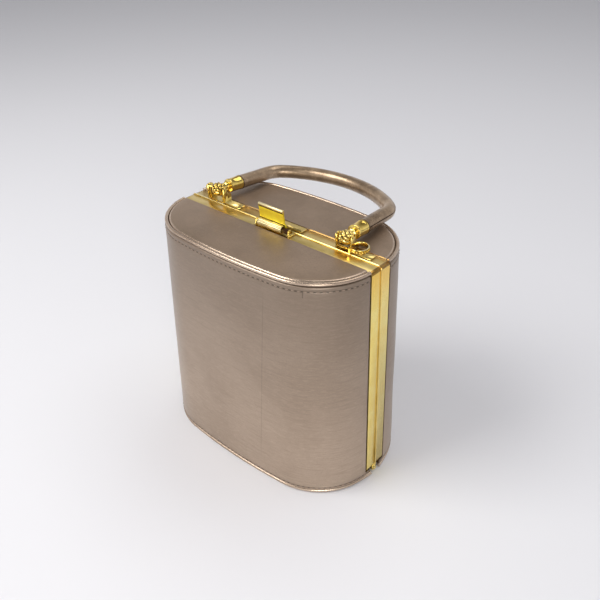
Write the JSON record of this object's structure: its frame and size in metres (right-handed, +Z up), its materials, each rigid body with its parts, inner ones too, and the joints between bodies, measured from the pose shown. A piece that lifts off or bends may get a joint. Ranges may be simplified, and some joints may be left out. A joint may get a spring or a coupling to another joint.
{
  "type": "box bag",
  "caption": "Hard leather-covered box bag in two bowed halves with gold-tone frames, bottom hinge, lift clasp and a pivoting rolled handle.",
  "frame": {"origin": "middle of the whole object's footprint, on the floor; the seam between the halves stands 12.5 mm in front of it because the handle lies back", "axes": "+Z up, +X to the right along the seam, +Y to the back, the side the handle lies on; the clasp is on the front half"},
  "size_m": [0.1604, 0.1254, 0.1688],
  "materials": {
    "leather_wall": "satin pearlised leather",
    "leather_panel": "satin pearlised leather",
    "leather_piping": "rolled leather piping",
    "leather_grip": "rolled and stitched leather",
    "gold_frame": "polished gold-tone plate",
    "gold_fittings": "bright gold-tone castings"
  },
  "bodies": {
    "back_half": {"back_wall": "leather_wall", "back_top_panel": "leather_panel", "back_top_welt": "leather_piping", "back_base_panel": "leather_panel", "back_base_welt": "leather_piping", "back_frame": "gold_frame", "handle_bracket_left": "gold_fittings", "handle_bracket_right": "gold_fittings", "strap_ring": "gold_fittings", "clasp_keeper": "gold_fittings"},
    "front_half": {"front_wall": "leather_wall", "front_top_panel": "leather_panel", "front_top_welt": "leather_piping", "front_base_panel": "leather_panel", "front_base_welt": "leather_piping", "front_frame": "gold_frame", "clasp_base": "gold_fittings"},
    "handle": {"handle_grip": "leather_grip", "handle_end_left": "gold_fittings", "handle_end_right": "gold_fittings"},
    "lever": {"clasp_lever": "gold_fittings"}
  },
  "joints": [
    {"name": "front_half_hinge", "type": "hinge", "parent": "back_half", "child": "front_half", "pos_m": [0, -0.01253, 0.00275], "axis": [1, 0, 0], "range_deg": [0, 90]},
    {"name": "handle_pivot", "type": "hinge", "parent": "back_half", "child": "handle", "pos_m": [0, -0.00993, 0.1621], "axis": [1, 0, 0], "range_deg": [0, 183]},
    {"name": "clasp_pivot", "type": "hinge", "parent": "front_half", "child": "lever", "pos_m": [0, -0.01773, 0.1562], "axis": [1, 0, 0], "range_deg": [-82, 0]}
  ]
}
